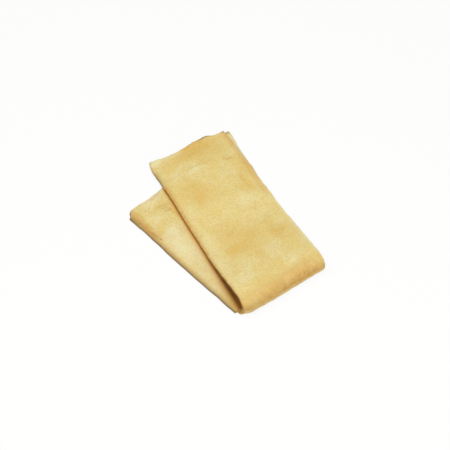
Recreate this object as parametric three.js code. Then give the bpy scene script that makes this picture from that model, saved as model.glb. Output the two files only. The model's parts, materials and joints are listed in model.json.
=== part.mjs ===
// A chamois leather, folded for the shelf. One skin is folded lengthwise into a strip of three plies,
// and the strip is folded once across, askew, so that its lower half fans out beside its upper half.
// Each zone of the skin between two fold lines is its own closed solid. Millimetres, +Z up.
// The cross fold runs along X, and both halves run from it towards +Y.
import * as THREE from "three";

// The strip
const STRIP_WIDTH = 127; // across the folded strip
const UPPER_LENGTH = 284; // from the crest to the far end of the upper half, along its middle line
const LOWER_LENGTH = 244; // the same on the lower half
const LEATHER = 1.2; // thickness of the skin with its nap
const PLY_GAP = 0.3; // air between plies, and along the fold lines between neighbouring zones
const COVER_INSET = 2.5; // the cover ply's free edge lies this far inside the strip's right edge
const CORNER_INSET = 5; // and draws in by this much more at its far corner
const CORNER_RUN = 38; // over this length
const TUCK_INSET = 4; // the tucked ply's free edge stops this far short of the left fold
const END_BOW = 5; // the middle of a far end stands past its corners by this much

// The cross fold
const FAN_ANGLE = 16; // degrees between the two halves, seen from above
const LOOP_BORE = 24; // clear height inside the loop
const LOOP_REACH = 7.4; // from the loop's highest line to the inside of its crest
const SETTLE_RUN = 150; // length over which the upper half comes down onto the lower half
const SETTLE_START = 1.5; // exponent of the slope's start, higher stays up longer
const SETTLE_END = 3; // exponent of its end, higher lands more softly

// Facets
const LOOP_STEPS = 7; // along each half of the loop
const SETTLE_STEPS = 8; // along the slope of the upper half
const ACROSS_STEPS = 8; // across a panel
const FOLD_STEPS = 6; // round a lengthwise fold

const COLOURS = {
  cover: 0xe6cf88,
  tucked: 0xdfc57c,
  inner: 0xe2ca84,
  fold: 0xd8b770,
};
const NAP_ROUGHNESS = 0.95;

// Levels of the three plies, measured out of the inner face of the stack.
const PLY_PITCH = LEATHER + PLY_GAP;
const STACK = 3 * LEATHER + 2 * PLY_GAP;
const LEVEL = { inner: 0, tucked: PLY_PITCH, cover: 2 * PLY_PITCH };

const SKEW = THREE.MathUtils.degToRad(FAN_ANGLE / 2);
const LEFT_FOLD_RADIUS = STACK / 2;
const RIGHT_FOLD_RADIUS = (2 * LEATHER + PLY_GAP) / 2;
const LEFT_SEAM = -STRIP_WIDTH / 2 + LEFT_FOLD_RADIUS;
const RIGHT_SEAM = STRIP_WIDTH / 2 - RIGHT_FOLD_RADIUS;
const CREST_HEIGHT = STACK + LOOP_BORE / 2;

// A station is a line of the inner face parallel to the crest: its place in the YZ plane, the
// direction out of the stack there, and its distance from the crest along the leather.
function withDistance(stations) {
  let distance = 0;
  return stations.map((station, i) => {
    if (i > 0) {
      const last = stations[i - 1];
      distance += Math.hypot(station.y - last.y, station.z - last.z);
    }
    return { ...station, distance };
  });
}

// Half of the loop is a quarter of an ellipse, from the crest to the flat stretch.
// It starts half a gap away from the crest, so that the two halves don't touch.
function loopStations(side) {
  const high = LOOP_BORE / 2;
  const first = Math.asin(PLY_GAP / 2 / high);
  return Array.from({ length: LOOP_STEPS + 1 }, (_, i) => {
    const angle = first + ((Math.PI / 2 - first) * i) / LOOP_STEPS;
    const outY = -high * Math.cos(angle);
    const outZ = LOOP_REACH * Math.sin(angle);
    const size = Math.hypot(outY, outZ);
    return {
      y: -LOOP_REACH * Math.cos(angle),
      z: CREST_HEIGHT + side * high * Math.sin(angle),
      outY: outY / size,
      outZ: (side * outZ) / size,
    };
  });
}

// The upper half comes down from the top of the loop until it lies on the lower half. Its height
// over there is the drop times (1 - u^SETTLE_START)^SETTLE_END, with u from 0 to 1 along the run.
function settleStations() {
  const drop = LOOP_BORE - PLY_GAP;
  return Array.from({ length: SETTLE_STEPS }, (_, i) => {
    const u = (i + 1) / SETTLE_STEPS;
    const left = 1 - u ** SETTLE_START;
    const steepness = SETTLE_END * left ** (SETTLE_END - 1) * SETTLE_START * u ** (SETTLE_START - 1);
    const slope = (-drop * steepness) / SETTLE_RUN;
    const size = Math.hypot(1, slope);
    return {
      y: SETTLE_RUN * u,
      z: STACK + PLY_GAP + drop * left ** SETTLE_END,
      outY: -slope / size,
      outZ: 1 / size,
    };
  });
}

const HALVES = {
  lower: {
    lean: -1,
    length: LOWER_LENGTH,
    stations: withDistance(loopStations(-1)),
  },
  upper: {
    lean: 1,
    length: UPPER_LENGTH,
    stations: withDistance([...loopStations(1), ...settleStations()]),
  },
};

// How far the far end lies from the crest at a place across the strip, which is 0 at its middle.
// The end is cut square to the strip and bows out between its corners.
function endDistance(half, across) {
  const share = (2 * across) / STRIP_WIDTH;
  const square = half.length * Math.cos(SKEW) - half.lean * across * Math.sin(SKEW);
  return square + END_BOW * (1 - share * share);
}

// Past the last station the half lies flat, up to a corner row and the far end.
function rowCount(half) {
  return half.stations.length + 2;
}

function stationAt(half, row, across) {
  const { stations } = half;
  if (row < stations.length) return stations[row];
  const last = stations[stations.length - 1];
  const short = row === stations.length ? CORNER_RUN : 0;
  const distance = endDistance(half, across) - short;
  return { ...last, y: last.y + distance - last.distance, distance };
}

// The point of the folded strip at a row, a place across it and a height out of the inner face.
function place(half, row, across, height) {
  const at = stationAt(half, row, across);
  return [
    half.lean * at.distance * Math.tan(SKEW) + across / Math.cos(SKEW),
    at.y + height * at.outY,
    at.z + height * at.outZ,
  ];
}

// A closed solid from a ring of section points carried along the rows.
// ring(row) gives [across, height] points that go round the section.
function sweep(half, ring) {
  const points = [];
  const faces = [];
  const rows = rowCount(half);
  const count = ring(0).length;
  for (let row = 0; row < rows; row += 1) {
    ring(row).forEach(([across, height]) => points.push(...place(half, row, across, height)));
  }
  for (let row = 0; row + 1 < rows; row += 1) {
    for (let i = 0; i < count; i += 1) {
      const a = row * count + i;
      const b = row * count + ((i + 1) % count);
      faces.push(a, b + count, b, a, a + count, b + count);
    }
  }
  // The section is a band: point i faces point count - 1 - i, so each end is a strip of quads.
  const far = (rows - 1) * count;
  for (let i = 0; i + 1 < count / 2; i += 1) {
    const j = count - 1 - i;
    faces.push(i, j - 1, j, i, i + 1, j - 1);
    faces.push(far + i, far + j, far + j - 1, far + i, far + j - 1, far + i + 1);
  }
  const geometry = new THREE.BufferGeometry();
  geometry.setAttribute("position", new THREE.Float32BufferAttribute(points, 3));
  // The lower half's out direction is down, which turns its faces round.
  if (half.lean < 0) faces.reverse();
  geometry.setIndex(faces);
  geometry.computeVertexNormals();
  return geometry;
}

// A flat panel of one ply between two edges across the strip.
function panel(half, level, leftEdge, rightEdge) {
  return sweep(half, (row) => {
    const left = leftEdge(row);
    const right = rightEdge(row);
    const line = Array.from(
      { length: ACROSS_STEPS + 1 },
      (_, i) => left + ((right - left) * i) / ACROSS_STEPS,
    );
    const bottom = line.map((across) => [across, level]);
    const top = line.map((across) => [across, level + LEATHER]).reverse();
    return [...bottom, ...top];
  });
}

// A lengthwise fold: half a tube whose wall is the leather, bulging to the side given.
function lengthFold(half, side, seam, middle, radius) {
  const arc = (r) =>
    Array.from({ length: FOLD_STEPS + 1 }, (_, i) => {
      const angle = (Math.PI * i) / FOLD_STEPS;
      return [seam + side * r * Math.sin(angle), middle - r * Math.cos(angle)];
    });
  const outer = arc(radius);
  const inner = arc(radius - LEATHER).reverse();
  const ring = [...outer, ...inner];
  return sweep(half, () => (side > 0 ? ring : [...ring].reverse()));
}

function leather(colour) {
  return new THREE.MeshStandardMaterial({
    color: colour,
    roughness: NAP_ROUGHNESS,
    metalness: 0,
  });
}

// The cover ply's free edge draws in towards its far corner.
function coverEdge(half, row) {
  const atEnd = row === rowCount(half) - 1;
  return STRIP_WIDTH / 2 - COVER_INSET - (atEnd ? CORNER_INSET : 0);
}

function zonesOf(half) {
  const leftPanelEdge = () => LEFT_SEAM + PLY_GAP;
  const rightPanelEdge = () => RIGHT_SEAM - PLY_GAP;
  const tuckedEdge = () => LEFT_SEAM + TUCK_INSET;
  const rightFoldMiddle = LEATHER + PLY_GAP / 2;
  return [
    ["cover_panel", "cover", panel(half, LEVEL.cover, leftPanelEdge, (row) => coverEdge(half, row))],
    ["tucked_panel", "tucked", panel(half, LEVEL.tucked, tuckedEdge, rightPanelEdge)],
    ["inner_panel", "inner", panel(half, LEVEL.inner, leftPanelEdge, rightPanelEdge)],
    ["left_fold", "fold", lengthFold(half, -1, LEFT_SEAM, STACK / 2, LEFT_FOLD_RADIUS)],
    ["right_fold", "fold", lengthFold(half, 1, RIGHT_SEAM, rightFoldMiddle, RIGHT_FOLD_RADIUS)],
  ];
}

function halfGroup(name) {
  const group = new THREE.Group();
  for (const [zone, colour, geometry] of zonesOf(HALVES[name])) {
    const mesh = new THREE.Mesh(geometry, leather(COLOURS[colour]));
    mesh.name = `${name}_${zone}`;
    group.add(mesh);
  }
  return group;
}

// The origin is under the middle of the folded chamois, on the surface that it lies on.
function folded() {
  const skin = new THREE.Group();
  skin.add(halfGroup("lower"), halfGroup("upper"));
  const box = new THREE.Box3().setFromObject(skin);
  const middle = box.getCenter(new THREE.Vector3());
  skin.position.set(-middle.x, -middle.y, -box.min.z);
  const chamois = new THREE.Group();
  chamois.add(skin);
  return chamois;
}

export default folded();
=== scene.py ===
"""A folded chamois leather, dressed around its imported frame.

One napped skin is folded lengthwise into three plies, and the strip is folded once across, askew. The
surface of the skin is worked out as a grid in numpy, from places on the flat leather to places in the
frame, so that its mottling and its edges follow the leather round every fold.
"""

import json
import math

import bpy
import numpy as np
from bpy.props import FloatProperty, FloatVectorProperty, PointerProperty
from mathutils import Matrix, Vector


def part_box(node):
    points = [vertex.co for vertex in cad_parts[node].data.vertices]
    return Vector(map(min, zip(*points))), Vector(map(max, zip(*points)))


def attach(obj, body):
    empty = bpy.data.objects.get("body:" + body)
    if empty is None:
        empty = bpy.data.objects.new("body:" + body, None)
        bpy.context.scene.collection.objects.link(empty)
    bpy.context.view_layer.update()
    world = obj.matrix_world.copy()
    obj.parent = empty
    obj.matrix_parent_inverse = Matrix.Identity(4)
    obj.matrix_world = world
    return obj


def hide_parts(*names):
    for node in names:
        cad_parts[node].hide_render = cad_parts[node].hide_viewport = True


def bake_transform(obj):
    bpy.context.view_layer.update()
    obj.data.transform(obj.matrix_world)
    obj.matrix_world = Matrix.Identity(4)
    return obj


bl_info = {
    "name": "Folded Chamois Leather",
    "version": (1, 0, 0),
    "blender": (4, 5, 0),
    "location": "View3D > Sidebar > Chamois",
    "description": "Builds the napped skin of a folded chamois leather and a plain studio around it",
    "category": "Object",
}

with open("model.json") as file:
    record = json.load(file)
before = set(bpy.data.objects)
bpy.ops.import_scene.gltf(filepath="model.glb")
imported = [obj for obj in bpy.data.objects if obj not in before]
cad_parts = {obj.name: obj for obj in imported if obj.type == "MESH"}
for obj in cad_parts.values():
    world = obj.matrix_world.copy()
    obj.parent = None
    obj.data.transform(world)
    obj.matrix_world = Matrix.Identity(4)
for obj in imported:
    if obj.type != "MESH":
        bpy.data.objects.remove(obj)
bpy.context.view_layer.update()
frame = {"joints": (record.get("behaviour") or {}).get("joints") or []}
MM = 0.001

LOWER_BODY = "lower_half"
LOWER_PIECE = "skin_lower_half"
UPPER_PIECE = "skin_upper_half"
ZONES = ("cover_panel", "tucked_panel", "inner_panel", "left_fold", "right_fold")
LOWER_NODES = [f"lower_{zone}" for zone in ZONES]
UPPER_NODES = [f"upper_{zone}" for zone in ZONES]
HINGE = frame["joints"][0]["pos_m"]


def length(name, description, value):
    """A length in metres that a user may change."""
    return FloatProperty(
        name=name,
        description=description,
        default=value,
        min=0,
        precision=5,
        subtype="DISTANCE",
        unit="LENGTH",
    )


def angle(name, description, degrees):
    """An angle that a user may change, given in degrees."""
    return FloatProperty(name=name, description=description, default=math.radians(degrees), subtype="ANGLE")


def share(name, description, value):
    """A share from 0 to 1 that a user may change."""
    return FloatProperty(name=name, description=description, default=value, min=0, max=1, subtype="FACTOR")


def linear(red, green, blue):
    """The linear colour of three sRGB values from 0 to 255, by the sRGB standard's curve."""
    value = np.array([red, green, blue]) / 255
    low = value / 12.92
    high = ((value + 0.055) / 1.055) ** 2.4
    return tuple(float(x) for x in np.where(value <= 0.04045, low, high))


def colour(name, description, red, green, blue):
    """A colour that a user may change, given as sRGB values from 0 to 255."""
    return FloatVectorProperty(
        name=name,
        description=description,
        default=linear(red, green, blue),
        size=3,
        min=0,
        max=1,
        subtype="COLOR",
    )


class StripSettings(bpy.types.PropertyGroup):
    """Sizes of the folded strip, the same as the frame's."""

    width: length("Width", "Across the folded strip", 127 * MM)
    upper_length: length("Upper length", "From the crest to the upper far end", 284 * MM)
    lower_length: length("Lower length", "From the crest to the lower far end", 244 * MM)
    leather: length("Leather", "Thickness of the skin with its nap", 1.2 * MM)
    ply_gap: length("Ply gap", "Least air between two plies", 0.3 * MM)
    fan: angle("Fan", "Between the two halves, seen from above", 16)
    reach: length("Loop reach", "From the loop's highest line to the inside of its crest", 7.4 * MM)
    settle: length("Settle run", "Over which the upper half comes down onto the lower", 150 * MM)
    cover_inset: length("Cover inset", "Of the cover ply's free edge from the right edge", 0.8 * MM)
    corner_inset: length("Corner inset", "Of the same edge at the upper far corner", 8 * MM)
    corner_run: length("Corner run", "Over which that edge draws in", 54 * MM)
    tuck_inset: length("Tuck inset", "Of the tucked ply's free edge from the left fold", 4 * MM)
    loft: length("Loft", "Air that the soft plies keep between them", 0.5 * MM)
    lift: length("Lift", "Of the upper half over the lofted lower half", 1.0 * MM)
    droop: length("Droop", "Of the upper far end past the lower half", 2.2 * MM)
    buckle: length("Buckle", "Of the inner ply at the loop's left end", 3.5 * MM)
    give: length("Give", "Of the loop's left corner, back and inwards", 4.2 * MM)
    step: length("Step", "Between two rows of the skin's grid", 1.7 * MM)


class NapSettings(bpy.types.PropertyGroup):
    """Colours and nap of the leather."""

    straw: colour("Straw", "Main colour of the skin", 226, 207, 139)
    pale: colour("Pale", "Cloudy lighter places", 234, 225, 176)
    ochre: colour("Ochre", "Oil-darkened patches", 220, 187, 105)
    # Brown is also painted shade on the left fold and at the lower far corner.
    brown: colour("Brown", "Handled folds and edges", 201, 157, 88)
    # This colour is the creases' darker leather and painted shade in them.
    crease: colour("Crease", "Fine creases", 172, 118, 52)
    # This colour is painted shade: in the turn of a fold, in the hollow of the loop and under the upper
    # half's edge.
    soil: colour("Soil", "Grime in the turn of a fold", 150, 92, 22)
    # This colour is the darkest painted shade, beside the loop.
    deep: colour("Deep", "Darkest grime beside the loop", 78, 40, 2)
    # This colour is painted warm shade beside the upper half's edge, and a warm tint inside the cover's free
    # edge.
    amber: colour("Amber", "Warm tint beside the upper half's edge", 228, 168, 80)
    # This colour is mostly painted shade on the outer turn of the left fold and at the cut ends, with a faint
    # grey trace.
    dust: colour("Dust", "Grey dust on the outer turn of the left fold", 126, 114, 93)
    # This colour is also painted light on the front of the loop, below its crest.
    bare: colour("Bare", "Bare fibre at the cut edges", 233, 223, 187)
    roughness: share("Roughness", "Of the nap", 0.92)
    sheen: share("Sheen", "Soft light on the fibre tips", 0.1)
    grain: length("Grain", "Depth of the nap in the bump", 0.3 * MM)


class StageSettings(bpy.types.PropertyGroup):
    """Camera and light."""

    azimuth: angle("Azimuth", "Of the camera round the chamois", -35.47)
    elevation: angle("Elevation", "Of the camera above the floor", 53.75)
    distance: length("Distance", "From the camera to its target", 1.8027)
    focal: FloatProperty(name="Focal length", description="Of the lens, in millimetres", default=108.26)
    key_power: FloatProperty(name="Key", description="Power of the soft lamp", default=20, unit="POWER")
    fill_power: FloatProperty(name="Fill", description="Power of the low front lamp", default=8, unit="POWER")
    lamp_side: length("Lamp side", "Side of the soft lamps", 1.4)
    ambient: share("Ambient", "Strength of the surroundings as light", 0.3)
    warmth: colour("Warmth", "Colour of that light", 255, 240, 216)
    floor_glow: share("Floor glow", "How far the floor fades to white for the camera", 0.9)
    floor_side: length("Floor", "Side of the floor", 8.0)


def smooth(low, high, value):
    """0 below low, 1 above high, and 3u^2 - 2u^3 between them."""
    u = np.clip((value - low) / (high - low), 0, 1)
    return u * u * (3 - 2 * u)


def fade(value, start, full):
    """The same from a start to where it is full, both in millimetres. It falls where full is the lower."""
    return smooth(start * MM, full * MM, value)


def bell(value, centre, spread):
    """A bell curve of height 1, e^-((value - centre) / spread)^2."""
    return np.exp(-(((value - centre) / spread) ** 2))


def hump(value, centre, spread):
    """The same with its centre and its spread in millimetres."""
    return bell(value, centre * MM, spread * MM)


def bells(value, table):
    """The sum of some bell curves, each given by its centre, its spread and its height in millimetres."""
    return sum(high * MM * hump(value, centre, spread) for centre, spread, high in table)


# The number of plane waves in a ripple, and the shares of its wavelength between which theirs lie.
RIPPLE_COUNT = 14
RIPPLE_LENGTHS = (0.7, 1.5)


def ripples(along, across, wavelength, seed):
    """Soft unevenness between about -1 and 1: a sum of plane waves in all directions.

    Their lengths lie round the wavelength given, and their directions and phases are drawn from the seed.
    """
    draw = np.random.default_rng(seed)
    turn = draw.uniform(0, 2 * math.pi, RIPPLE_COUNT)
    number = 2 * math.pi / (wavelength * draw.uniform(*RIPPLE_LENGTHS, RIPPLE_COUNT))
    phase = draw.uniform(0, 2 * math.pi, RIPPLE_COUNT)
    plane_waves = zip(turn, number, phase)
    total = sum(np.cos(k * (np.cos(a) * along + np.sin(a) * across) + f) for a, k, f in plane_waves)
    return total / math.sqrt(RIPPLE_COUNT)


def waves(along, across, table):
    """The sum of some ripples, each given by its strength, its wavelength in millimetres and its seed."""
    return sum(strength * ripples(along, across, long * MM, seed) for strength, long, seed in table)


class FoldedStrip:
    """Maps a place on the strip to the frame.

    A place is (along, across, height): along is the distance from the crest, square to it, below zero on
    the lower half; across is 0 at the strip's middle line; height is measured out of the stack's inner face.
    """

    # The profile's fineness in metres, the slope's powers, and stretches in millimetres from the crest.
    PROFILE_STEP = 0.25 * MM
    PROFILE_REACH = 0.32
    TURN_POINTS = 400
    START_POWER = 1.5
    END_POWER = 3
    DROOP = (212, 257)
    GIVE_STARTS = (-21, -15)
    GIVE_ENDS = (14, -6)
    GIVE_SPREAD = 10 * MM

    def __init__(self, s):
        self.s = s
        self.skew = s.fan / 2
        self.pitch = s.leather + s.ply_gap
        self.stack = 3 * s.leather + 2 * s.ply_gap
        self.left_seam = -s.width / 2 + self.stack / 2
        self.right_seam = s.width / 2 - (2 * s.leather + s.ply_gap) / 2
        self.crest_y = HINGE[1] + s.ply_gap + self.stack + s.reach
        self.crest_z = HINGE[2]
        self.bore = 2 * (self.crest_z - self.stack)
        low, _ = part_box("upper_left_fold")
        self.middle_x = low[0] + s.width / 2 / math.cos(self.skew)
        self._carry_profile()

    def _carry_profile(self):
        """The inner face's line in the YZ plane, from the lower far end round the loop to the upper one.

        Lower half: level, on top of the stack. Loop: half an ellipse of half-axes reach and bore / 2.
        Upper half: rest + drop (1 - u^1.5)^3 over the settle run, then level, with a droop at its end.
        """
        s = self.s
        rest = self.stack + s.ply_gap + s.lift
        flat_y = np.arange(self.PROFILE_REACH, 0, -self.PROFILE_STEP)
        turn = np.linspace(-math.pi / 2, math.pi / 2, self.TURN_POINTS)
        slope_y = np.arange(self.PROFILE_STEP, self.PROFILE_REACH, self.PROFILE_STEP)
        left = 1 - np.clip(slope_y / s.settle, 0, 1) ** self.START_POWER
        slope_z = rest + (self.stack + self.bore - rest) * left**self.END_POWER
        slope_z -= s.droop * fade(slope_y, *self.DROOP)
        y = np.concatenate([flat_y, -s.reach * np.cos(turn), slope_y])
        z = np.concatenate([0 * flat_y + self.stack, self.crest_z + self.bore / 2 * np.sin(turn), slope_z])
        step = np.hypot(np.diff(y), np.diff(z))
        along = np.concatenate([[0], np.cumsum(step)])
        crest = len(flat_y) + len(turn) / 2 - 0.5
        self.along = along - np.interp(crest, np.arange(len(along)), along)
        tangent = np.stack([np.gradient(y, self.along), np.gradient(z, self.along)])
        tangent /= np.hypot(*tangent)
        self.y, self.z = y + self.crest_y, z
        self.out_y, self.out_z = -tangent[1], tangent[0]
        self.foot = self.along[len(flat_y)]

    def place(self, along, across, height):
        """Points in the frame, with x = along tan(skew) + across / cos(skew), plus the corner's give."""
        profile = (self.y, self.z, self.out_y, self.out_z)
        y, z, out_y, out_z = [np.interp(along, self.along, line) for line in profile]
        give = self.corner_give(along, across)
        x = self.middle_x + along * math.tan(self.skew) + across / math.cos(self.skew)
        return np.stack([x + give, y + height * out_y + give, np.maximum(z + height * out_z, 0)], axis=-1)

    def corner_give(self, along, across):
        """The loop's left corner is soft: round its lower bend it gives way backwards and inwards."""
        bend = fade(along, *self.GIVE_STARTS) * fade(along, *self.GIVE_ENDS)
        return self.s.give * bend * bell(across, -self.s.width / 2, self.GIVE_SPREAD)

    def lengthwise(self, along, across):
        """The distance from the crest's middle, measured along the strip."""
        return (along + across * math.sin(self.skew)) / math.cos(self.skew)


# The zones of the skin, from the cover's free edge on.
COVER, LEFT, INNER, RIGHT, TUCKED = ZONE_NUMBERS = range(5)


class SkinSection:
    """The skin's path across the strip, as columns: cover, left fold, inner, right fold, tucked.

    part is the zone's number and share runs from 0 to 1 through it, from the cover's free edge on.
    """

    # Columns round a fold, and the cover's first columns, close together at its cut edge.
    FOLD_COLUMNS = 13
    EDGE_SHARES = (0.0, 0.0025, 0.006, 0.012)
    EDGE_CLEAR = 0.004

    def __init__(self, strip):
        s = strip.s
        panel = np.linspace(0, 1, round(s.width / s.step))
        edge = np.array(self.EDGE_SHARES)
        cover = np.concatenate([edge, panel[panel > edge[-1] + self.EDGE_CLEAR]])
        bend = np.linspace(0, 1, self.FOLD_COLUMNS + 2)[1:-1]
        tucked = 1 - cover[::2][::-1]
        zones = [cover, bend, panel, bend, tucked]
        self.share = np.concatenate(zones)
        self.part = np.concatenate([np.full(len(z), i) for i, z in enumerate(zones)])

    def pick(self, cover, left, inner, right, tucked):
        """Each column's own value out of five, one for each zone."""
        zones = [self.part == zone for zone in ZONE_NUMBERS]
        return np.select(zones, [cover, left, inner, right, tucked])

    def by_ply(self, cover, inner, tucked):
        """Each column's own ply's value, which passes from one ply to the next round a fold."""
        left = cover + (inner - cover) * self.share
        right = inner + (tucked - inner) * self.share
        return self.pick(cover, left, inner, right, tucked)


# Sideways wander of the strip's edges along the strip, as bell curves in millimetres, inwards above zero
# at the left and below zero at the right.
LEFT_WANDER = (
    (3, 6, -2.0),
    (28, 18, -0.4),
    (74, 12, 0.4),
    (120, 40, -0.1),
    (245, 26, -1.5),
    (269, 7, -1.0),
    (283, 5, 1.4),
    (-24, 7, -0.7),
    (-34, 14, 0.9),
    (-60, 7, 0.9),
    (-95, 30, -0.6),
    (-110, 14, -0.5),
    (-144, 14, -0.4),
)
RIGHT_WANDER = (
    (226, 34, -2.4),
    (180, 28, -1.6),
    (252, 14, -1.0),
    (146, 9, -0.9),
    (128, 18, -0.9),
    (98, 28, 1.2),
    (20, 6, -0.8),
    (8, 14, 3.2),
)

# How much longer than square each ply is at the far ends, as bell curves across the strip.
UPPER_COVER_END = (
    (22, 26, 6.6),
    (28, 5, 1.0),
    (18, 7, -0.6),
    (-14, 6, -0.8),
    (-36, 22, -2.2),
    (38, 6, -0.9),
    (53, 6, 1.6),
)
UPPER_INNER_END = ((-60, 45, -2.0), (62, 14, 2.8))
UPPER_TUCKED_END = ((0, 60, -2.5), (16, 14, 5.0))
LOWER_COVER_END = ((-62, 13, -7.5), (10, 25, 1.5))
LOWER_INNER_END = ((-66, 7, -6.0), (-52, 6, -0.9), (-16, 13, -6.2), (20, 20, 1.0))
LOWER_TUCKED_END = ((0, 90, -3.5),)

# The lower far corner: radius at the left, and depth and place of the notch in its fold.
ROUND_OFF = 11 * MM
NOTCH = 5.5 * MM
NOTCH_SHARE = (0.6, 0.2)

# Fine creases on the upper cover and on the lower inner ply, dented a little and painted darker, partly as
# shade: strength, and points (across, lengthwise) in millimetres.
UPPER_CREASES = (
    (0.24, ((-59, 241), (-40, 243), (-20, 246), (5, 247))),
    (0.5, ((31.8, 241.5), (34, 238.2), (40.8, 238.2))),
    (0.16, ((36.5, 244.5), (39.5, 244.5))),
    (0.24, ((-8, 268), (2, 271), (12, 270))),
)
LOWER_CREASES = (
    (0.48, ((-24, -223), (-17, -221), (-11, -219))),
    (0.48, ((-21, -217), (-14, -215))),
    (0.4, ((-19, -211), (-13, -209))),
    (0.24, ((-52, -187), (-42, -185), (-30, -187))),
    (0.6, ((-60, -226), (-59, -217))),
    (0.45, ((-60, -212), (-59.2, -204))),
    (0.6, ((-59.4, -201), (-58.2, -195))),
    (0.55, ((-57.4, -194), (-56, -189))),
    (1.4, ((-56.4, -180.4), (-56.1, -179.6))),
)
CREASE_SPREAD = 1.4 * MM
CREASE_DEPTH = 0.15 * MM

# Soft unevenness, as ripples: strength, wavelength in millimetres and seed.
LOFT_WAVES = ((0.45, 62, 3), (0.22, 24, 5))
LEFT_WAVES = ((0.4, 85, 11), (0.18, 17, 13))
RIGHT_WAVES = ((0.35, 70, 12), (0.18, 15, 14))
COVER_WAVES = ((0.5, 40, 21), (0.22, 9, 22))
LOOP_WAVES = ((0.22, 15, 31), (0.11, 7, 32))
CUT_STRENGTH = 0.3
CUT_WAVELENGTH = 8

# Loft: its least share, its share at the crest and where it grows from there, and the lower far corner's own.
LEAST_LOFT = 0.15
CREST_LOFT = 0.25
CREST_RUN = (8, 40)
CORNER_LOFT = 0.9 * MM
CORNER_ALONG = (-218, 30)
CORNER_SPREAD = 22 * MM

# Levels of the plies: where the loft turns from inwards to outwards, the buckle of the inner ply, the curl of
# the cover's far corner and the fullness of the loop's front.
LOFT_TURNS = (-12, 12)
BUCKLE_ALONG = (-5, 9)
BUCKLE_SPREAD = 22 * MM
CURL = 0.9 * MM
CURL_RUN = (225, 290)
CURL_SPREAD = 7 * MM
LOOP_ALONG = (-7, 13)
FULLNESS = 0.7 * MM
FULL_ALONG = (-9, 9)
FULL_ACROSS = (-5, 32)


def loft_of(strip, along, across):
    """Air between the plies: uneven over the panels, thin at the crest and full at the lower far corner."""
    s = strip.s
    uneven = np.maximum(1 + waves(along, across, LOFT_WAVES), LEAST_LOFT)
    firm = CREST_LOFT + (1 - CREST_LOFT) * fade(np.abs(along), *CREST_RUN)
    corner = hump(along, *CORNER_ALONG) * bell(across, -s.width / 2, CORNER_SPREAD)
    return s.loft * uneven * firm + CORNER_LOFT * corner


def edge_wander(strip, along, across):
    """Sideways wander: each fold line isn't quite straight, and places between them move in proportion."""
    lengthwise = strip.lengthwise(along, across)
    leftness = np.clip(0.5 - across / strip.s.width, 0, 1)
    left = MM * waves(lengthwise, 0, LEFT_WAVES) + bells(lengthwise, LEFT_WANDER)
    right = MM * waves(lengthwise, 0, RIGHT_WAVES) + bells(lengthwise, RIGHT_WANDER)
    return left * leftness + right * (1 - leftness)


def cover_edge(strip, lengthwise):
    """Where the cover ply's free edge lies across the strip: it draws in on the upper half's far stretch."""
    s = strip.s
    drawn = np.clip((lengthwise - s.upper_length) / s.corner_run + 1, 0, 1)
    inset = s.cover_inset + (s.corner_inset - s.cover_inset) * drawn
    return s.width / 2 - inset + MM * waves(lengthwise, 0, COVER_WAVES)


def crease_lines(across, lengthwise, lines):
    """The strongest of some broken lines, each falling off to either side as a bell curve."""
    strongest = np.zeros(across.shape)
    for strength, line in lines:
        points = np.array(line) * MM
        for (x0, y0), (x1, y1) in zip(points[:-1], points[1:]):
            run = (x1 - x0) ** 2 + (y1 - y0) ** 2
            u = np.clip(((across - x0) * (x1 - x0) + (lengthwise - y0) * (y1 - y0)) / run, 0, 1)
            away = np.hypot(across - x0 - u * (x1 - x0), lengthwise - y0 - u * (y1 - y0))
            strongest = np.maximum(strongest, strength * bell(away, 0, CREASE_SPREAD))
    return strongest


def creased(strip, section, along, across):
    """How much of a crease runs through each place."""
    lengthwise = strip.lengthwise(along, across)
    upper = crease_lines(across, lengthwise, UPPER_CREASES)
    lower = crease_lines(across, lengthwise, LOWER_CREASES)
    return section.pick(upper, 0, lower, 0, 0)


def level_places(strip, section, along):
    """Places across the strip before the folds bulge: panels are straight, a fold stands at its seam."""
    s = strip.s
    u = section.share[None, :]
    right_edge = cover_edge(strip, strip.lengthwise(along[:, :1], s.width / 2))
    left, right = strip.left_seam, strip.right_seam
    tucked = right + (left + s.tuck_inset - right) * u
    row = 0 * along[:, :1]
    cover = right_edge + (left - right_edge) * u
    return section.pick(cover, left + row, left + (right - left) * u + row, right + row, tucked + row)


def ply_levels(strip, section, along, across):
    """Heights of the three plies' middle faces.

    The loft is added on the side away from what the half lies on: outwards on the upper half and inwards on
    the lower half. Round the loop the inner ply has length to spare, and buckles inwards at the left end.
    """
    s = strip.s
    half_skin = s.leather / 2
    loft = loft_of(strip, along, across)
    outward = fade(along, *LOFT_TURNS)
    buckle = s.buckle * hump(along, *BUCKLE_ALONG) * bell(across, -s.width / 2, BUCKLE_SPREAD)
    far = fade(strip.lengthwise(along, across), *CURL_RUN)
    curl = CURL * far * bell(across, s.width / 2 - s.corner_inset, CURL_SPREAD)
    nubbly = MM * waves(along, across, LOOP_WAVES) * hump(along, *LOOP_ALONG)
    full = FULLNESS * hump(along, *FULL_ALONG) * hump(across, *FULL_ACROSS)
    cover = 2 * strip.pitch + half_skin + loft * outward + nubbly + full + section.pick(curl, 0, 0, 0, 0)
    tucked = strip.pitch + half_skin + loft * (outward - 0.5) - 0.5 * buckle
    inner = half_skin - loft * (1 - outward) - buckle
    return cover, inner, tucked


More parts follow.
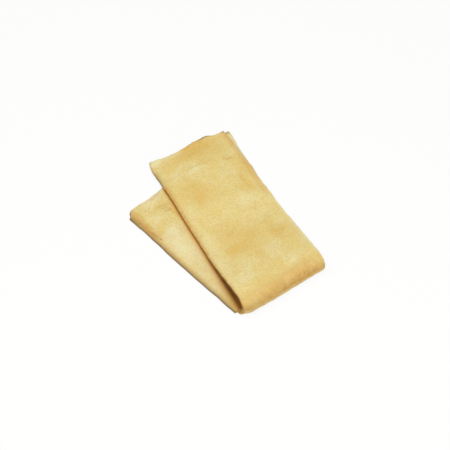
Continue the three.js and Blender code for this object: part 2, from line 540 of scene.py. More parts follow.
def section_places(strip, section, along):
    """(across, height) of the skin's middle face at each row and column, with its normal in that plane.

    Panels are level lines, and lengthwise folds are half circles that join two levels. A crease lowers a
    panel's outer face a little.
    """
    across = level_places(strip, section, along)
    cover, inner, tucked = ply_levels(strip, section, along, across)
    dent = CREASE_DEPTH * creased(strip, section, along, across)
    cover, inner = cover - dent, inner + dent
    bend = math.pi * section.share[None, :] + 0 * along
    left, right = (cover - inner) / 2, (tucked - inner) / 2
    flat = 0 * along
    rise, out = np.cos(bend), np.sin(bend)
    height = section.pick(cover, inner + left * (1 + rise), inner, inner + right * (1 - rise), tucked)
    bulge = section.pick(flat, -left * out, flat, right * out, flat)
    normal_across = section.pick(flat, -out, flat, out, flat)
    normal_height = section.pick(1 + flat, rise, flat - 1, -rise, 1 + flat)
    return across + bulge + edge_wander(strip, along, across), height, normal_across, normal_height


def cut_end(across, table, seed):
    """How much longer than square a ply's cut end is: its bell curves, and the knife's small unevenness."""
    return bells(across, table) + MM * waves(across, 0, ((CUT_STRENGTH, CUT_WAVELENGTH, seed),))


def upper_end(strip, section, across):
    """How much longer than square the upper far end is, ply by ply."""
    cover = cut_end(across, UPPER_COVER_END, 41)
    inner = cut_end(across, UPPER_INNER_END, 42)
    return section.by_ply(cover, inner, cut_end(across, UPPER_TUCKED_END, 43))


def lower_end(strip, section, across):
    """The same on the lower far end. Its left corner is rounded off, and the fold there is notched."""
    past = np.clip((-across - strip.s.width / 2 + ROUND_OFF) / ROUND_OFF, 0, 1)
    rounded = section.by_ply(0 * past, 1 + 0 * past, 1 + 0 * past)
    corner = ROUND_OFF * rounded * (np.sqrt(1 - past**2) - 1)
    notch = NOTCH * section.pick(0, 1, 0, 0, 0) * bell(section.share, *NOTCH_SHARE)
    cover = cut_end(across, LOWER_COVER_END, 44)
    inner = cut_end(across, LOWER_INNER_END, 45)
    longer = section.by_ply(cover, inner, cut_end(across, LOWER_TUCKED_END, 46))
    return -(longer + corner - notch)


def closed_sheet(top, bottom, bulge):
    """Vertices and quads of a closed skin from its two faces, each a grid of rows and columns.

    The rim follows the grid's border. Its middle line stands out by bulge, given for each border point.
    """
    rows, columns = top.shape[:2]
    count = rows * columns
    grid = np.arange(count).reshape(rows, columns)
    quads = np.stack([grid[:-1, :-1], grid[1:, :-1], grid[1:, 1:], grid[:-1, 1:]], axis=-1).reshape(-1, 4)
    under = quads[:, ::-1] + count
    border = np.concatenate([grid[:-1, 0], grid[-1, :-1], grid[:0:-1, -1], grid[0, :0:-1]])
    inside = np.clip(border // columns, 1, rows - 2) * columns + np.clip(border % columns, 1, columns - 2)
    flat_top, flat_bottom = top.reshape(-1, 3), bottom.reshape(-1, 3)
    middle = (flat_top + flat_bottom) / 2
    outward = middle[border] - middle[inside]
    outward /= np.linalg.norm(outward, axis=1)[:, None]
    rim = middle[border] + outward * bulge.reshape(-1)[border][:, None]
    a, a_mid = border, 2 * count + np.arange(len(border))
    b, b_mid = np.roll(a, -1), np.roll(a_mid, -1)
    high = np.stack([b, a, a_mid, b_mid], axis=-1)
    low = np.stack([b_mid, a_mid, a + count, b + count], axis=-1)
    points = np.concatenate([flat_top, flat_bottom, rim])
    return points, np.concatenate([quads, under, high, low]), border


# Edges that turn by more than this stay sharp, and a cut rim stands out by this share of the leather.
SHARP_ANGLE = math.radians(75)
RIM_BULGE = 0.3


def new_piece(name, points, quads):
    """An object at the origin with that mesh, smooth but for its sharp edges."""
    mesh = bpy.data.meshes.new(name)
    mesh.from_pydata(points.tolist(), [], quads.tolist())
    mesh.polygons.foreach_set("use_smooth", np.ones(len(quads), bool))
    mesh.set_sharp_from_angle(angle=SHARP_ANGLE)
    piece = bpy.data.objects.new(name, mesh)
    bpy.context.scene.collection.objects.link(piece)
    return piece


def flat_map(mesh, flat):
    """A UV map that holds each point's place on the flat skin, in metres."""
    corner = np.zeros(len(mesh.loops), np.int32)
    mesh.loops.foreach_get("vertex_index", corner)
    layer = mesh.uv_layers.new(name="flat_skin")
    layer.data.foreach_set("uv", flat[corner].astype(np.float32).ravel())


def point_value(mesh, name, values):
    """An attribute with one value for each point, which the shader reads."""
    attribute = mesh.attributes.new(name, "FLOAT", "POINT")
    attribute.data.foreach_set("value", values.astype(np.float32))


def skin_piece(name, strip, along_rows, end, stretch):
    """One stretch of the skin as a closed sheet.

    along_rows are the rows' distances from the crest. The far rows are drawn out to the uneven end: stretch
    goes from 0 to 1 over them, and the end's own lean and waviness are added in that measure.
    """
    s = strip.s
    section = SkinSection(strip)
    columns = len(section.part)
    along = np.repeat(along_rows[:, None], columns, axis=1)
    across = section_places(strip, section, along)[0]
    lean = -across * math.sin(strip.skew)
    along = along + stretch[:, None] * (lean + end(strip, section, across))
    across, height, normal_across, normal_height = section_places(strip, section, along)
    half_skin = s.leather / 2
    faces = [
        strip.place(along, across + side * normal_across, height + side * normal_height)
        for side in (half_skin, -half_skin)
    ]
    seam_row = 0 if stretch[0] == 0 else len(stretch) - 1
    bulge = np.full(along.shape, RIM_BULGE * s.leather)
    bulge[seam_row] = 0
    points, quads, border = closed_sheet(*faces, bulge)
    piece = new_piece(name, points, quads)
    both_faces_and_rim = np.concatenate([np.arange(along.size), np.arange(along.size), border])
    flat = np.stack([skin_path(across, height), strip.lengthwise(along, across)], axis=-1)
    flat_map(piece.data, flat.reshape(-1, 2)[both_faces_and_rim])
    to_end = np.abs(along - along[len(stretch) - 1 - seam_row])
    for layer_name, values in stains_and_shade(strip, section, along, across, to_end).items():
        point_value(piece.data, layer_name, values.ravel()[both_faces_and_rim])
    return piece


def skin_path(across, height):
    """Distance from the cover's free edge, measured across the flat skin along each row."""
    step = np.hypot(np.diff(across, axis=1), np.diff(height, axis=1))
    return np.concatenate([np.zeros((len(across), 1)), np.cumsum(step, axis=1)], axis=1)


def from_left_fold(strip, section):
    """Distance along the skin from the outermost line of the left fold, up to the right fold."""
    turn = math.pi * (strip.stack - strip.s.leather) / 4
    panel = strip.right_seam - strip.left_seam
    u = section.share
    far = turn + panel
    return section.pick(turn + (1 - u) * panel, np.abs(2 * u - 1) * turn, turn + u * panel, far, far)


# Lengths that change along the strip, in millimetres: the first and the last, and the places where the change
# starts and ends. They are the width of the painted shadow line under the upper half's edge, which widens
# towards the loop, the spread of the browned left fold, and how far inside the cover's free edge its brown
# band lies.
OVERLAP_WIDTH = (2.2, 4.5, 200, 20)
BROWNED_SPREAD = (3.8, 5.8, 60, 150)
BAND_INSIDE = (6.8, 2, 245, 272)

# How far outside the left edge the brown of that fold is strongest.
BROWNED_OUTSIDE = 1 * MM

# The lean of the lower half's long crease, and the place across where its distance is counted.
CREASE_LEAN = 0.2
CREASE_MIDDLE = -38 * MM

# Half the width of the full line of painted shade along the left fold.
SHADE_LINE = 1.2 * MM


def changing(value, first, last, start, full):
    """A length that passes from the first to the last between two places, all in millimetres."""
    return MM * (first + (last - first) * fade(value, start, full))


def overlap(strip, along, across):
    """Distance on the lower half from the line where the upper half's edge lies, in widths of that line.

    The line is across = run tan(fan) - width / 2 / cos(fan).
    """
    s = strip.s
    run = -strip.lengthwise(along, across)
    line = run * math.tan(s.fan) - s.width / 2 / math.cos(s.fan)
    return (across - line) / changing(run, *OVERLAP_WIDTH)


def measures(strip, section, along, across, to_end):
    """What the marks are measured by at each place.

    In millimetres: along, square to the crest; across the strip; lengthwise, along the strip; askew, the same
    with the lean of the lower half's long crease; and the distances from the far end, the left and right
    sides, the cover's free edge, the band inside it, the turn of the left fold and the painted shade line on
    it.
    As plain numbers: the zone, the share of it that is passed, the distance from the overlap line in widths
    of that line, and the distance from the browned fold in its spreads.
    """
    s = strip.s
    lengthwise = strip.lengthwise(along, across)
    from_left, from_right = across + s.width / 2, s.width / 2 - across
    from_edge = across - cover_edge(strip, lengthwise)
    from_turn = from_left_fold(strip, section)
    lengths = {
        "along": along,
        "across": across,
        "lengthwise": lengthwise,
        "askew": lengthwise + CREASE_LEAN * (across - CREASE_MIDDLE),
        "from_end": to_end,
        "from_left": from_left,
        "from_right": from_right,
        "from_edge": from_edge,
        "from_band": from_edge + changing(lengthwise, *BAND_INSIDE),
        "from_turn": from_turn,
        "from_dust": np.maximum(from_turn - SHADE_LINE, 0),
    }
    numbers = {
        "zone": section.part,
        "share": section.share,
        "overlap": overlap(strip, along, across),
        "browned": (from_left + BROWNED_OUTSIDE) / changing(np.abs(lengthwise), *BROWNED_SPREAD),
    }
    return {name: value / MM for name, value in lengths.items()} | numbers


def from_to(measure, start, full):
    """A window of a mark: 0 at the start and 1 where it is full, as 3u^2 - 2u^3."""
    return lambda places: smooth(start, full, places[measure])


def near(measure, centre, spread):
    """A window that is 1 at its centre and falls off as a bell curve."""
    return lambda places: bell(places[measure], centre, spread)


def on(*zones):
    """A window that is 1 on some zones of the skin and 0 on the others."""
    return lambda places: np.isin(places["zone"], zones)


def less(part, *windows):
    """A window that takes a part away where all the windows given are 1."""
    return lambda places: 1 - part * product(windows, places)


def product(windows, places):
    """All the windows at each place, multiplied."""
    return math.prod(window(places) for window in windows)


# Windows that several marks share.
BESIDE_LOOP = from_to("along", 0, -15)
LOWER_HALF = from_to("along", -24, -40)
LOOP_MOUTH = from_to("along", 75, 40)
PAST_LOWER_HALF = from_to("lengthwise", 224, 240)
UPPER_END = from_to("along", 0, 200)
LOWER_END = from_to("along", 0, -200)
TOWARDS_TIP = less(0.45, from_to("lengthwise", 256, 270))
FREE_BAND = (
    near("from_band", 0, 3.8),
    from_to("lengthwise", 148, 176),
    less(0.45, near("lengthwise", 249, 9)),
)

# Browned by handling, and painted shade on the left fold and at the lower far corner.
HANDLED_AND_SHADE = (
    # The left fold, partly painted shade on its rounded side, less where it is the outer edge
    (
        0.95,
        near("browned", 0, 1),
        from_to("lengthwise", 268, 252),
        less(0.15, LOWER_HALF),
        less(0.5, PAST_LOWER_HALF),
    ),
    # Painted shade on the puffed fold of the lower far corner
    (0.72, near("from_left", 3, 7), from_to("lengthwise", -165, -192)),
    # The front of the crest, less at its left, below it and on top of its right end
    (
        0.8,
        from_to("along", 28, 3),
        from_to("along", -50, -20),
        less(0.85, from_to("along", 3, -5)),
        less(0.25, from_to("across", 0, -45)),
        less(0.5, from_to("across", 35, 60), from_to("along", -4, 12)),
    ),
    # Inside the cover's free edge
    (0.38, on(COVER), *FREE_BAND),
)

# Rubbed pale on the near side of the long crease of each half, with a sharp rim at the crease.
RUBBED = (
    (
        0.8,
        on(COVER),
        near("across", -11, 15),
        from_to("lengthwise", 228, 244),
        from_to("lengthwise", 248, 245),
    ),
    (
        0.8,
        on(INNER),
        near("across", -38, 15),
        from_to("lengthwise", -130, -184),
        from_to("askew", -189, -184),
    ),
)

# Painted shade.
PAINTED_SHADE = (
    # Painted shade in the turn of the left fold, where the upper half lies on the lower
    (0.9, on(LEFT), from_to("share", 0.06, 0.44), from_to("along", 2, 14), less(1, PAST_LOWER_HALF)),
    # Painted shade in the hollow of the loop
    (0.85, on(LEFT), from_to("share", 0.45, 0.7), from_to("along", -14, -6), LOOP_MOUTH),
    (0.7, on(INNER), from_to("across", -30, -56), from_to("along", -8, 4), LOOP_MOUTH),
    # Painted shadow on the lower half, just under the upper half's edge
    (0.93, on(INNER), near("overlap", 1.1, 0.95), BESIDE_LOOP),
    # Painted shade on the upper cut end
    (
        0.95,
        on(COVER),
        near("from_end", 0, 1.8),
        from_to("across", 9, 23),
        from_to("across", 36, 30),
        UPPER_END,
    ),
)

# The darkest painted shade, beside the loop.
DEEPENED = (
    # Painted shadow on the lower half, under the upper half's edge
    (
        0.45,
        on(INNER),
        near("overlap", 1.4, 0.9),
        BESIDE_LOOP,
        from_to("lengthwise", -125, -90),
        less(0.44, from_to("lengthwise", -60, -30)),
    ),
    # Painted shade in the turn of the left fold
    (0.7, on(LEFT), from_to("share", 0.04, 0.3), from_to("along", 2, 10), from_to("along", 85, 50)),
)

# A painted warm shade on the lower half beside the upper half's edge, and a warm tint inside the cover's free
# edge.
AMBER = (
    (0.65, on(INNER), near("overlap", 0.3, 1.4), BESIDE_LOOP),
    (0.13, on(COVER), *FREE_BAND),
)

# Grey: painted shade on the outer turns of the left fold and at the cut ends, and a faint grey trace.
DUSTY_AND_SHADED = (
    # Painted shade on the left fold of the lower half, where it turns under: a soft band and a line
    (0.32, near("from_turn", 0, 5.5), LOWER_HALF),
    (
        0.8,
        near("from_dust", 0, 1),
        from_to("along", -17, -22),
        less(0.125, from_to("lengthwise", -175, -195)),
    ),
    # The same on the upper half, past the lower half
    (0.1, near("from_turn", 0, 5.5), PAST_LOWER_HALF, TOWARDS_TIP),
    (0.67, near("from_dust", 0, 1.1), PAST_LOWER_HALF, TOWARDS_TIP),
    # A trace on the lower half and below the crest
    (0.03, on(INNER), LOWER_HALF),
    (0.03, from_to("along", 6, -6), less(1, LOWER_HALF)),
    # Painted shade at the lower far corner
    (0.8, near("from_end", 0, 2.5), from_to("across", -52, -59), LOWER_HALF),
    # Painted shade at the two corners of the upper cut end, and at its middle
    (0.36, near("from_end", 0, 2.2), from_to("across", -57, -62), UPPER_END),
    (0.36, near("from_end", 0, 2.2), from_to("across", 49, 53), UPPER_END),
    (
        0.16,
        near("from_end", 0, 2.2),
        from_to("across", -14, 0),
        from_to("across", 32, 22),
        UPPER_END,
    ),
    # Painted shade on the rim of the cover's free edge
    (
        0.24,
        on(COVER),
        near("share", 0, 0.013),
        from_to("lengthwise", 170, 195),
        from_to("lengthwise", 262, 250),
    ),
)

# Bare pale fibre, and painted light on the front of the loop.
BARE_AND_LIT = (
    # The cover's free edge
    (
        0.6,
        on(COVER),
        near("from_edge", 0, 3.6),
        from_to("lengthwise", 20, 45),
        from_to("lengthwise", 264, 248),
    ),
    # The upper cut end, at its left and at its right corner, and the lower cut end
    (0.6, on(COVER, INNER), near("from_end", 0, 5), from_to("across", -8, -26), UPPER_END),
    (0.36, on(COVER, INNER), near("from_end", 0, 5), near("across", 50, 8), UPPER_END),
    (0.7, on(COVER, INNER), near("from_end", 0, 5), from_to("across", -44, -34), LOWER_END),
    # The right fold where the cover leaves it open
    (0.85, on(RIGHT, TUCKED), near("from_right", 0, 8), from_to("along", 150, 220)),
    # The lower inner ply, up to its long crease
    (0.3, on(INNER), near("across", -42, 20), from_to("askew", -190, -183), from_to("lengthwise", -30, -80)),
    # Painted light on the front of the loop, below its crest
    (0.3, on(COVER, LEFT), from_to("along", 2, -5), from_to("along", -36, -26)),
)

STAINS_AND_SHADE = {
    "handled": HANDLED_AND_SHADE,
    "rubbed": RUBBED,
    "soiled": PAINTED_SHADE,
    "deepened": DEEPENED,
    "amber": AMBER,
    "dusty": DUSTY_AND_SHADED,
    "bare": BARE_AND_LIT,
}


def strongest_mark(marks, places):
    """The strongest of a layer's marks at each place. A mark is its strength times its windows."""
    strongest = 0
    for strength, *windows in marks:
        strongest = np.maximum(strongest, strength * product(windows, places))
    return strongest


def stains_and_shade(strip, section, along, across, to_end):
    """The strength of each stain, painted shade and painted light at each place. to_end is the distance to
    the half's far end.
    """
    places = measures(strip, section, along, across, to_end)
    strengths = {name: strongest_mark(marks, places) for name, marks in STAINS_AND_SHADE.items()}
    return strengths | {"creased": creased(strip, section, along, across)}


class Value:
    """A shader socket with arithmetic: an expression on values adds its Math nodes."""

    def __init__(self, nodes, socket):
        self.nodes, self.socket = nodes, socket

    def _math(self, operation, first, second):
        """A Math node on two operands, each a value or a number."""
        return self.nodes.add("ShaderNodeMath", {"operation": operation}, {0: first, 1: second})

    def __add__(self, other):
        return self._math("ADD", self, other)

    def __radd__(self, other):
        return self._math("ADD", other, self)

    def __sub__(self, other):
        return self._math("SUBTRACT", self, other)

    def __rsub__(self, other):
        return self._math("SUBTRACT", other, self)

    def __mul__(self, other):
        return self._math("MULTIPLY", self, other)

    def __rmul__(self, other):
        return self._math("MULTIPLY", other, self)


class Nodes:
    """A node tree that is written as expressions."""

    def __init__(self, tree):
        self.tree = tree
        tree.nodes.clear()

    def add(self, kind, settings=None, sockets=None, output=0):
        """A node of that kind: its settings are set first, then its sockets get values or links."""
        node = self.tree.nodes.new(kind)
        for key, value in (settings or {}).items():
            setattr(node, key, value)
        for key, value in (sockets or {}).items():
            if isinstance(value, Value):
                self.tree.links.new(value.socket, node.inputs[key])
            else:
                node.inputs[key].default_value = value
        return Value(self, node.outputs[output]) if len(node.outputs) else node

    def noise(self, place, scale, detail, rough, output="Fac"):
        """Noise at a place, with its scale per metre."""
        sockets = {"Vector": place, "Scale": scale, "Detail": detail, "Roughness": rough}
        return self.add("ShaderNodeTexNoise", {}, sockets, output)

    def ramp(self, value, low, high):
        """0 below low and 1 above high, smooth between them."""
        sockets = {"Value": value, "From Min": low, "From Max": high}
        return self.add("ShaderNodeMapRange", {"interpolation_type": "SMOOTHSTEP"}, sockets)

    def above(self, value, strength, low, high):
        """That strength above high, and 0 below low."""
        return self.ramp(value, low, high) * strength

    def below(self, value, strength, low, high):
        """That strength below low, and 0 above high."""
        return (1 - self.ramp(value, low, high)) * strength

    def mix(self, factor, first, second):
        """A colour between two colours."""
        settings = {"data_type": "RGBA", "clamp_factor": True}
        return self.add("ShaderNodeMix", settings, {"Factor": factor, 6: first, 7: second}, 2)

    def vector(self, operation, *operands, output=0):
        """Vector arithmetic."""
        return self.add("ShaderNodeVectorMath", {"operation": operation}, dict(enumerate(operands)), output)

    def larger(self, first, second):
        """The larger of two values."""
        return self.add("ShaderNodeMath", {"operation": "MAXIMUM"}, {0: first, 1: second})

    def attribute(self, name):
        """A value that the mesh holds for each point."""
        return self.add("ShaderNodeAttribute", {"attribute_name": name}, {}, "Fac")


# Soft patches of the upper cover and of the lower inner ply, in millimetres on the strip: place across,
# place along it (below zero on the lower half), half-width, half-length and strength.
UPPER_OCHRE = (
    (18, 278, 36, 12, 1.0),
    (30, 281, 15, 9, 0.9),
    (4, 269, 56, 17, 0.65),
    (-24, 205, 22, 30, 0.75),
    (42, 191, 10, 24, 0.75),
    (47, 222, 12, 26, 0.38),
    (28, 211, 10, 12, 0.3),
    (-4, 106, 42, 38, 0.5),
    (-20, 91, 39, 23, 0.62),
    (36, 93, 20, 18, 0.6),
    (0, 108, 26, 22, 0.6),
    (-36, 267, 14, 7, 0.5),
    (34, 261, 22, 11, 0.35),
    (-5, 66, 8, 17, 0.6),
)
UPPER_PALE = (
    (34, 163, 26, 28, 0.42),
    (-58, 88, 34, 78, 0.5),
    (-38, 44, 14, 20, 0.6),
    (35, 137, 18, 19, 0.42),
    (-30, 141, 15, 20, 0.45),
    (0, 230, 16, 11, 0.4),
    (18, 61, 13, 22, 0.72),
    (31, 37, 12, 14, 0.6),
    (-54, 279, 14, 10, 1.0),
    (-30, 249, 44, 10, 0.12),
)
LOWER_OCHRE = (
    (-60, -205, 8, 32, 0.8),
    (-12, -202, 9, 12, 0.7),
    (-56, -226, 9, 10, 0.8),
)
LOWER_PALE = (
    (-40, -158, 19, 34, 0.5),
    (-45, -104, 15, 44, 0.33),
    (-40, -208, 10, 10, 0.5),
    (-26, -232, 18, 9, 0.5),
)

# Where a patch starts to fade and where it ends, in its half-sizes, and how far its rim wanders, in metres.
PATCH_FADES = (0.15, 1.25)
PATCH_WANDER = 0.035

# Noises on the flat skin: scale per metre, detail and roughness.
WANDER = (45, 4, 0.65)
CLOUDS = (26, 5, 0.62)
FLECKS = (130, 4, 0.7)
MOTTLE = (330, 3, 0.65)
FIBRES = (950, 3, 0.7)
FUZZ = (2600, 2, 0.6)

# How the noises tint the leather: strength, and the noise's values between which the tint grows.
LIGHT_CLOUDS = (0.4, 0.47, 0.68)
DARK_CLOUDS = (0.35, 0.32, 0.53)
PALE_FLECKS = (0.33, 0.5, 0.68)
BROWN_MOTTLE = (0.24, 0.3, 0.52)
DARK_FIBRE = (0.95, 0.945, 0.92, 1)
LIGHT_FIBRE = (1.05, 1.055, 1.08, 1)
FIBRE_SMOOTHING = 0.06
FIBRE_RANGE = (0.3, 0.7)
MIDDLE_RANGE = (0.35, 0.65)
BROKEN_LEAST = 0.7
BROKEN_MORE = 0.6
FIBRE_RELIEF = 0.6
MOTTLE_RELIEF = 0.8
FUZZ_RELIEF = 0.3
BUMP_STRENGTH = 0.6

# The stains, painted shade and painted light in the order in which they are laid over the leather: colour,
# strength, and whether flecks break the layer up.
LAYERS = {
    # Bare fibre at the cut edges, and painted light on the front of the loop
    "bare": ("bare", 0.8, False),
    # Handling, and painted shade on the left fold and at the lower far corner
    "handled": ("brown", 1, True),
    # Painted warm shade beside the upper half's edge, and a warm tint inside the cover's free edge
    "amber": ("amber", 1, False),
    # Darker leather and painted shade in the creases
    "creased": ("crease", 0.62, True),
    # Painted shade in the gap, the loop and on the upper cut end
    "soiled": ("soil", 1, False),
    # The darkest painted shade, beside the loop
    "deepened": ("deep", 1, False),
    # Mostly painted shade on the fold turns and cut ends, with a faint grey trace
    "dusty": ("dust", 1, False),
}


def left_fold_length(strip):
    """Length of the skin round the left fold: half a circle through the middle of the leather."""
    return math.pi * (strip.stack - strip.s.leather + strip.s.loft) / 2


def patch_places(strip, upper, lower):
    """Centres, half-sizes and strengths on the flat skin.

    Across the skin the cover runs from its right edge to the left fold, and the inner ply back again.
    """
    s = strip.s
    cover_middle = s.width / 2 - s.cover_inset
    inner_middle = cover_middle - 2 * strip.left_seam + left_fold_length(strip)
    plies = [(cover_middle, -1, patch) for patch in upper] + [(inner_middle, 1, patch) for patch in lower]
    return [
        ((middle + way * x * MM, y * MM, 0), (wide * MM, long * MM, 1), strength)
        for middle, way, (x, y, wide, long, strength) in plies
    ]


def patch_mask(nodes, place, patches):
    """The strongest of some soft round patches at a place: 1 in the middle and 0 at the rim of each."""
    total = 0
    for centre, size, strength in patches:
        away = nodes.vector("DIVIDE", nodes.vector("SUBTRACT", place, centre), size)
        distance = nodes.vector("LENGTH", away, output="Value")
        total = nodes.larger(total, strength * (1 - nodes.ramp(distance, *PATCH_FADES)))
    return total


def chamois_nap(nap, strip):
    """Napped leather: cloudy straw yellow, pale and ochre patches, browned folds, bare cut edges, and painted
    shade and light.
    """
    material = bpy.data.materials.new("chamois_nap")
    material.use_nodes = True
    nodes = Nodes(material.node_tree)
    place = nodes.add("ShaderNodeUVMap", {"uv_map": "flat_skin"})
    wander = nodes.vector("SUBTRACT", nodes.noise(place, *WANDER, "Color"), (0.5, 0.5, 0.5))
    wander = nodes.vector("MULTIPLY_ADD", wander, (PATCH_WANDER, PATCH_WANDER, 0), place)
    clouds, flecks, mottle, fibres, fuzz = [
        nodes.noise(place, *kind) for kind in (CLOUDS, FLECKS, MOTTLE, FIBRES, FUZZ)
    ]
    ochre = patch_mask(nodes, wander, patch_places(strip, UPPER_OCHRE, LOWER_OCHRE))
    pale = patch_mask(nodes, wander, patch_places(strip, UPPER_PALE, LOWER_PALE))
    uneven = BROKEN_LEAST + BROKEN_MORE * nodes.ramp(flecks, *MIDDLE_RANGE)
    light = nodes.above(clouds, *LIGHT_CLOUDS) + pale * uneven + nodes.attribute("rubbed")
    dark = nodes.below(clouds, *DARK_CLOUDS) + ochre * uneven
    tint = nodes.mix(light, (*nap.straw, 1), (*nap.pale, 1))
    tint = nodes.mix(dark, tint, (*nap.ochre, 1))
    tint = nodes.mix(nodes.above(flecks, *PALE_FLECKS), tint, (*nap.pale, 1))
    tint = nodes.mix(nodes.below(mottle, *BROWN_MOTTLE), tint, (*nap.brown, 1))
    for layer_name, (paint, strength, broken) in LAYERS.items():
        factor = nodes.attribute(layer_name) * strength
        factor = factor * uneven if broken else factor
        tint = nodes.mix(factor, tint, (*getattr(nap, paint), 1))
    speck = nodes.ramp(fibres, *FIBRE_RANGE)
    tone = 0.5 * (speck + nodes.ramp(mottle, *MIDDLE_RANGE))
    shade = nodes.vector("MULTIPLY", tint, nodes.mix(tone, DARK_FIBRE, LIGHT_FIBRE))
    relief = fibres * FIBRE_RELIEF + mottle * MOTTLE_RELIEF + fuzz * FUZZ_RELIEF
    bump = {"Strength": BUMP_STRENGTH, "Distance": nap.grain, "Height": relief}
    normal = nodes.add("ShaderNodeBump", {}, bump)
    sockets = {
        "Base Color": shade,
        "Roughness": nap.roughness - FIBRE_SMOOTHING * speck,
        "Normal": normal,
        "Sheen Weight": nap.sheen,
        "Sheen Roughness": 0.45,
        "Sheen Tint": (1.0, 0.82, 0.5, 1),
        "Specular IOR Level": 0.1,
        "Subsurface Weight": 0.3,
        "Subsurface Radius": (1.0, 0.42, 0.14),
        "Subsurface Scale": 2 * MM,
    }
    surface = nodes.add("ShaderNodeBsdfPrincipled", {}, sockets)
    nodes.add("ShaderNodeOutputMaterial", {}, {"Surface": surface})
    return material


def dress_skin(context, strip, piece, nodes):
    """What both stretches of the skin share: the leather and the nodes that it stands for."""
    material = bpy.data.materials.get("chamois_nap") or chamois_nap(context.scene.chamois_nap, strip)
    piece.data.materials.append(material)
    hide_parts(*nodes)


def flat_width(strip):
    """Width of the open skin: three panels and the two folds between them."""
    s = strip.s
    panels = 3 * (strip.right_seam - strip.left_seam) - s.cover_inset - s.tuck_inset
    right_fold = math.pi * strip.pitch / 2
    return panels + left_fold_length(strip) + right_fold


def rows_between(first, last, step):
    """Even rows from the first place to the last, about a step apart."""
    return np.linspace(first, last, max(2, round(abs(last - first) / step) + 1))


# The stretch over which a half is drawn out to its uneven end.
END_RUN = 60 * MM


class CHAMOIS_OT_lower_half(bpy.types.Operator):
    """Lay the lower half of the skin, from its far end to the foot of the loop"""

    bl_idname = "chamois.lower_half"
    bl_label = "Lower half"

    def execute(self, context):
        strip = FoldedStrip(context.scene.chamois_strip)
        s = strip.s
        far = -s.lower_length * math.cos(strip.skew)
        rows = rows_between(far, strip.foot, s.step)
        lower = skin_piece(LOWER_PIECE, strip, rows, lower_end, smooth(far + END_RUN, far, rows))
        dress_skin(context, strip, lower, LOWER_NODES)
        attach(lower, LOWER_BODY)
        flat_width(strip)
        return {"FINISHED"}


class CHAMOIS_OT_upper_half(bpy.types.Operator):
    """Carry the skin round the loop and over the lower half to its upper far end"""

    bl_idname = "chamois.upper_half"
    bl_label = "Loop and upper half"

    # A line from just over the lower half to just under the roof of the loop, which leans back; it is worked
    # out but not used.
    BLEND_LEAN = 0.25
    BLEND_FOOT = 1.0 * MM
    BLEND_HEAD = 1.5 * MM
    LOOP_END = 24 * MM

    def execute(self, context):
        strip = FoldedStrip(context.scene.chamois_strip)
        s = strip.s
        far = s.upper_length * math.cos(strip.skew)
        loop = rows_between(strip.foot, self.LOOP_END, s.step / 2)
        rows = np.concatenate([loop[:-1], rows_between(self.LOOP_END, far, s.step)])
        upper = skin_piece(UPPER_PIECE, strip, rows, upper_end, smooth(far - END_RUN, far, rows))
        dress_skin(context, strip, upper, UPPER_NODES)
        foot = Vector((strip.middle_x, strip.crest_y, strip.stack + self.BLEND_FOOT))
        # Its height: the bore less what is left free below and above it, divided by 1 + lean^2
        climb = (strip.bore - self.BLEND_FOOT - self.BLEND_HEAD) / (1 + self.BLEND_LEAN**2)
        head = foot + Vector((0, self.BLEND_LEAN * climb, climb))
        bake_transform(upper)
        flat = (flat_width(strip), s.upper_length - strip.foot)
        return {"FINISHED"}


def aim(thing, target):
    """Turns an object's -Z towards a point."""
    thing.rotation_euler = (Vector(target) - thing.location).to_track_quat("-Z", "Y").to_euler()


def add_lamp(name, place, target, power, side):
    """A square soft lamp, aimed at a point."""
    data = bpy.data.lights.new(name, "AREA")
    data.energy, data.size = power, side
    lamp = bpy.data.objects.new(name, data)
    lamp.location = place
    aim(lamp, target)
    bpy.context.scene.collection.objects.link(lamp)


def shown_directly(nodes):
    """1 for rays from the camera, off a mirror or through glass."""
    camera, glossy, through = [
        nodes.add("ShaderNodeLightPath", output=name)
        for name in ("Is Camera Ray", "Is Glossy Ray", "Is Transmission Ray")
    ]
    return nodes.larger(nodes.larger(camera, glossy), through)


WHITE = (1, 1, 1, 1)


def studio_world(stage):
    """White surroundings: full white where they are seen, weaker as light."""
    world = bpy.data.worlds.new("studio")
    world.use_nodes = True
    nodes = Nodes(world.node_tree)
    seen = shown_directly(nodes)
    strength = seen * (1 - stage.ambient) + stage.ambient
    tint = nodes.mix(seen, (*stage.warmth, 1), WHITE)
    back = nodes.add("ShaderNodeBackground", {}, {"Color": tint, "Strength": strength})
    nodes.add("ShaderNodeOutputWorld", {}, {"Surface": back})
    bpy.context.scene.world = world


FLOOR_LEVEL = -0.2 * MM
FLOOR_AS_LIGHT = (0.7, 0.64, 0.55, 1)
FLOOR_AS_SEEN = (0.92, 0.92, 0.92, 1)


def studio_floor(stage):
    """A pale floor that keeps the shadow and fades to white for the camera."""
    half = stage.floor_side / 2
    round_about = ((-half, -half), (half, -half), (half, half), (-half, half))
    corners = np.array([(x, y, FLOOR_LEVEL) for x, y in round_about])
    floor = new_piece("studio_floor", corners, np.array([[0, 1, 2, 3]]))
    material = bpy.data.materials.new("floor_white")
    material.use_nodes = True
    nodes = Nodes(material.node_tree)
    seen = shown_directly(nodes)
    pale = nodes.mix(seen, FLOOR_AS_LIGHT, FLOOR_AS_SEEN)
    matt = nodes.add("ShaderNodeBsdfDiffuse", {}, {"Color": pale})
    glow = nodes.add("ShaderNodeEmission", {}, {"Color": WHITE, "Strength": 1.0})
    factor = seen * stage.floor_glow
    mixed = nodes.add("ShaderNodeMixShader", {}, {0: factor, 1: matt, 2: glow})
    nodes.add("ShaderNodeOutputMaterial", {}, {"Surface": mixed})
    floor.data.materials.append(material)


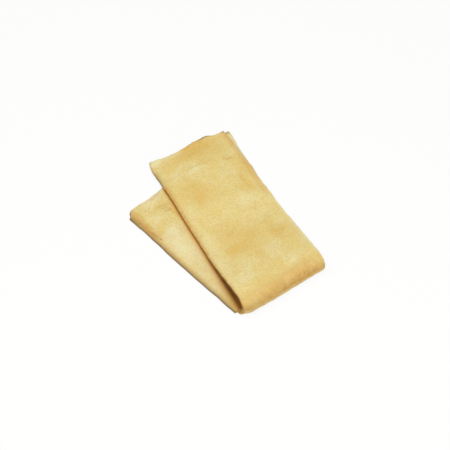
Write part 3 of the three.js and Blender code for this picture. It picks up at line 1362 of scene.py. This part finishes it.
# What the camera turns round, from the crest's middle and the floor, and how far from it the lens is aimed.
TARGET_BEHIND = 110 * MM
TARGET_ABOVE = 10 * MM
AIM_RIGHT = -6.26 * MM
AIM_ABOVE = 8.13 * MM
SENSOR_WIDTH = 36
NEAR_CLIP = 0.05
FAR_CLIP = 50


def studio_camera(stage, strip):
    """Looks at a point of the upper half, as the photograph does, with no shift."""
    target = Vector((strip.middle_x, strip.crest_y + TARGET_BEHIND, TARGET_ABOVE))
    level = math.cos(stage.elevation)
    turn = stage.azimuth
    back = Vector((math.sin(turn) * level, -math.cos(turn) * level, math.sin(stage.elevation)))
    right = Vector((0, 0, 1)).cross(back).normalized()
    above = back.cross(right)
    data = bpy.data.cameras.new("camera")
    data.lens, data.sensor_width = stage.focal, SENSOR_WIDTH
    data.clip_start, data.clip_end = NEAR_CLIP, FAR_CLIP
    camera = bpy.data.objects.new("camera", data)
    camera.location = target + back * stage.distance
    aim(camera, target + right * AIM_RIGHT + above * AIM_ABOVE)
    bpy.context.scene.collection.objects.link(camera)
    bpy.context.scene.camera = camera


class CHAMOIS_OT_stage(bpy.types.Operator):
    """Set the camera, the pale floor and the soft light"""

    bl_idname = "chamois.stage"
    bl_label = "Stage"

    KEY_PLACE = (-0.35, -0.15, 1.45)
    FILL_PLACE = (0.2, -1.3, 0.3)

    def execute(self, context):
        stage = context.scene.chamois_stage
        strip = FoldedStrip(context.scene.chamois_strip)
        studio_camera(stage, strip)
        studio_world(stage)
        studio_floor(stage)
        add_lamp("key", self.KEY_PLACE, (0, 0, 0), stage.key_power, stage.lamp_side)
        add_lamp("fill", self.FILL_PLACE, (0, 0, 0), stage.fill_power, stage.lamp_side)
        context.scene.view_settings.view_transform = "Standard"
        return {"FINISHED"}


class CHAMOIS_PT_sidebar(bpy.types.Panel):
    """Settings and steps of the folded chamois"""

    bl_label = "Folded chamois"
    bl_space_type = "VIEW_3D"
    bl_region_type = "UI"
    bl_category = "Chamois"

    def draw(self, context):
        scene = context.scene
        for settings in (scene.chamois_strip, scene.chamois_nap, scene.chamois_stage):
            box = self.layout.box()
            for name in settings.bl_rna.properties.keys():
                if name not in {"rna_type", "name"}:
                    box.prop(settings, name)
        for step in (CHAMOIS_OT_stage, CHAMOIS_OT_lower_half, CHAMOIS_OT_upper_half):
            self.layout.operator(step.bl_idname)


CLASSES = (
    StripSettings,
    NapSettings,
    StageSettings,
    CHAMOIS_OT_stage,
    CHAMOIS_OT_lower_half,
    CHAMOIS_OT_upper_half,
    CHAMOIS_PT_sidebar,
)


def register():
    """Adds the classes, and the settings to the scene."""
    for cls in CLASSES:
        bpy.utils.register_class(cls)
    bpy.types.Scene.chamois_strip = PointerProperty(type=StripSettings)
    bpy.types.Scene.chamois_nap = PointerProperty(type=NapSettings)
    bpy.types.Scene.chamois_stage = PointerProperty(type=StageSettings)


def unregister():
    """Takes them away again."""
    del bpy.types.Scene.chamois_strip
    del bpy.types.Scene.chamois_nap
    del bpy.types.Scene.chamois_stage
    for cls in reversed(CLASSES):
        bpy.utils.unregister_class(cls)


def main():
    """Builds the stage and both halves."""
    register()
    bpy.ops.chamois.stage()
    bpy.ops.chamois.lower_half()
    bpy.ops.chamois.upper_half()


if __name__ == "__main__":
    main()
